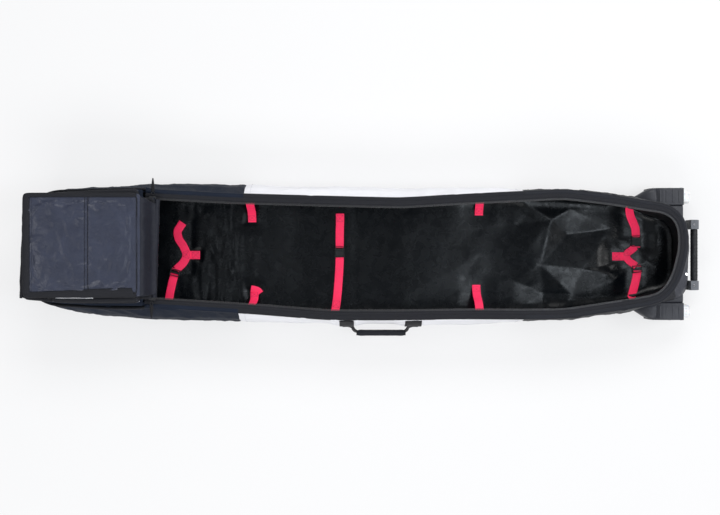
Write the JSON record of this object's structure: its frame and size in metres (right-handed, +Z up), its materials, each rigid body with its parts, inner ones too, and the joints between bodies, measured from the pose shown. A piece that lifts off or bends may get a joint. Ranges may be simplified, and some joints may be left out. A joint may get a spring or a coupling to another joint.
{
  "type": "wheeled ski bag",
  "caption": "Long wheeled travel bag for skis, lying open on its back: padded walls, folding zip lid, red internal straps, end and side handles and two wheels.",
  "frame": {"origin": "middle of the base panel's flat underside", "axes": "+X along the bag from the tail to the wheel end, +Y the bag's left side, +Z up out of the opening"},
  "size_m": [1.976, 0.4653, 0.268],
  "materials": {
    "shell_navy": "woven polyester, matt",
    "shell_white": "coated woven polyester, satin",
    "shell_black": "woven polyester, matt",
    "lining": "coated lining, glossy and creased",
    "binding": "ribbed binding tape, matt",
    "zip_black": "nylon coil",
    "webbing_red": "ribbed webbing",
    "webbing_black": "ribbed webbing",
    "plastic_black": "moulded, fine grain",
    "plastic_grey": "moulded, fine grain",
    "board": "stiffener sheet",
    "wheel_white": "milky polyurethane, satin",
    "steel": "plated steel"
  },
  "bodies": {
    "bag_body": {"base_panel": "shell_black", "base_board": "board", "floor_lining": "lining", "side_wall_left_tail": "shell_navy", "side_wall_left_middle": "shell_white", "side_wall_left_wheel": "shell_black", "side_wall_right_tail": "shell_navy", "side_wall_right_middle": "shell_white", "side_wall_right_wheel": "shell_black", "wheel_end_wall": "shell_black", "tail_end_wall": "shell_navy", "tail_hood": "shell_navy", "rim_binding_left": "binding", "rim_binding_right": "binding", "zip_track_left": "zip_black", "zip_track_right": "zip_black", "middle_buckle_socket": "plastic_black", "middle_strap_left": "webbing_red", "middle_strap_right": "webbing_red", "tail_strap_anchor": "webbing_red", "tail_strap_fork": "webbing_red", "tail_strap_side": "webbing_red", "wheel_strap_anchor": "webbing_red", "wheel_buckle_socket": "plastic_black", "wheel_strap_left": "webbing_red", "wheel_strap_fork": "webbing_red", "wheel_strap_right": "webbing_red", "pole_strap_left_tail": "webbing_red", "pole_strap_right_tail": "webbing_red", "pole_strap_left_wheel": "webbing_red", "pole_strap_right_wheel": "webbing_red", "wheel_axle_left": "steel", "wheel_housing_left": "plastic_black", "wheel_axle_right": "steel", "wheel_housing_right": "plastic_black", "end_handle_bar": "plastic_black", "end_handle_bracket_left": "plastic_grey", "end_handle_bracket_right": "plastic_grey", "side_handle_patch_tail": "shell_black", "side_handle_patch_wheel": "shell_black"},
    "lid_1": {"lid_panel_1": "shell_navy"},
    "lid_2": {"lid_panel_2": "shell_white"},
    "lid_3": {"lid_panel_3": "shell_white"},
    "lid_4": {"lid_panel_4": "shell_white"},
    "lid_5": {"lid_panel_5": "shell_black"},
    "slider_left": {"zip_slider_left": "steel"},
    "slider_right": {"zip_slider_right": "steel"},
    "pull_left": {"zip_pull_left": "steel"},
    "pull_right": {"zip_pull_right": "steel"},
    "wheel_left": {"wheel_tyre_left": "wheel_white", "wheel_hub_left": "wheel_white", "wheel_bush_left": "steel"},
    "wheel_right": {"wheel_tyre_right": "wheel_white", "wheel_hub_right": "wheel_white", "wheel_bush_right": "steel"},
    "side_handle": {"side_handle_webbing": "webbing_black", "side_handle_grip": "binding"},
    "middle_plug": {"middle_buckle_plug": "plastic_black"},
    "wheel_end_plug": {"wheel_buckle_plug": "plastic_black"}
  },
  "joints": [
    {"name": "lid_fold_1", "type": "hinge", "parent": "bag_body", "child": "lid_1", "pos_m": [-0.594, 0, 0.2135], "axis": [0.0332, 0.9995, 0], "range_deg": [0, 180]},
    {"name": "lid_fold_2", "type": "hinge", "parent": "lid_1", "child": "lid_2", "pos_m": [-0.96518, 0.02465, 0.2245], "axis": [-0.0332, -0.9995, 0], "range_deg": [0, 180]},
    {"name": "lid_fold_3", "type": "hinge", "parent": "lid_2", "child": "lid_3", "pos_m": [-0.63118, 0.02465, 0.2355], "axis": [0, 1, 0], "range_deg": [0, 180]},
    {"name": "lid_fold_4", "type": "hinge", "parent": "lid_3", "child": "lid_4", "pos_m": [-0.88218, 0.02465, 0.2465], "axis": [0, -1, 0], "range_deg": [0, 180]},
    {"name": "lid_fold_5", "type": "hinge", "parent": "lid_4", "child": "lid_5", "pos_m": [-0.63118, 0.02465, 0.2575], "axis": [0, 1, 0], "range_deg": [0, 180]},
    {"name": "zip_slide_left", "type": "slide", "parent": "bag_body", "child": "slider_left", "axis": [0.9986, -0.052, 0], "range_m": [0, 0.22]},
    {"name": "zip_slide_right", "type": "slide", "parent": "bag_body", "child": "slider_right", "axis": [0.9981, -0.0624, 0], "range_m": [0, 0.22]},
    {"name": "zip_pull_swing_left", "type": "hinge", "parent": "slider_left", "child": "pull_left", "pos_m": [-0.60253, 0.16939, 0.2], "axis": [0.9986, -0.052, 0], "range_deg": [0, 100]},
    {"name": "zip_pull_swing_right", "type": "hinge", "parent": "slider_right", "child": "pull_right", "pos_m": [-0.60356, -0.13725, 0.2], "axis": [-0.9981, 0.0624, 0], "range_deg": [0, 100]},
    {"name": "wheel_spin_left", "type": "hinge", "parent": "bag_body", "child": "wheel_left", "pos_m": [0.953, 0.172, 0.046], "axis": [0, 1, 0], "continuous": true},
    {"name": "wheel_spin_right", "type": "hinge", "parent": "bag_body", "child": "wheel_right", "pos_m": [0.953, -0.172, 0.046], "axis": [0, 1, 0], "continuous": true},
    {"name": "side_handle_swing", "type": "hinge", "parent": "bag_body", "child": "side_handle", "pos_m": [0.0625, -0.219, 0.105], "axis": [1, 0, 0], "range_deg": [-25, 25]},
    {"name": "middle_buckle_release", "type": "slide", "parent": "bag_body", "child": "middle_plug", "axis": [0, 1, 0], "range_m": [0, 0.03], "deforming": ["middle_strap_left"]},
    {"name": "wheel_buckle_release", "type": "slide", "parent": "bag_body", "child": "wheel_end_plug", "axis": [0, 1, 0], "range_m": [0, 0.03], "deforming": ["wheel_strap_left"]}
  ],
  "couplings": [
    {"joint": "lid_fold_2", "follows": "lid_fold_1", "ratio": 1},
    {"joint": "lid_fold_3", "follows": "lid_fold_1", "ratio": 1},
    {"joint": "lid_fold_4", "follows": "lid_fold_1", "ratio": 1},
    {"joint": "lid_fold_5", "follows": "lid_fold_1", "ratio": 1}
  ]
}
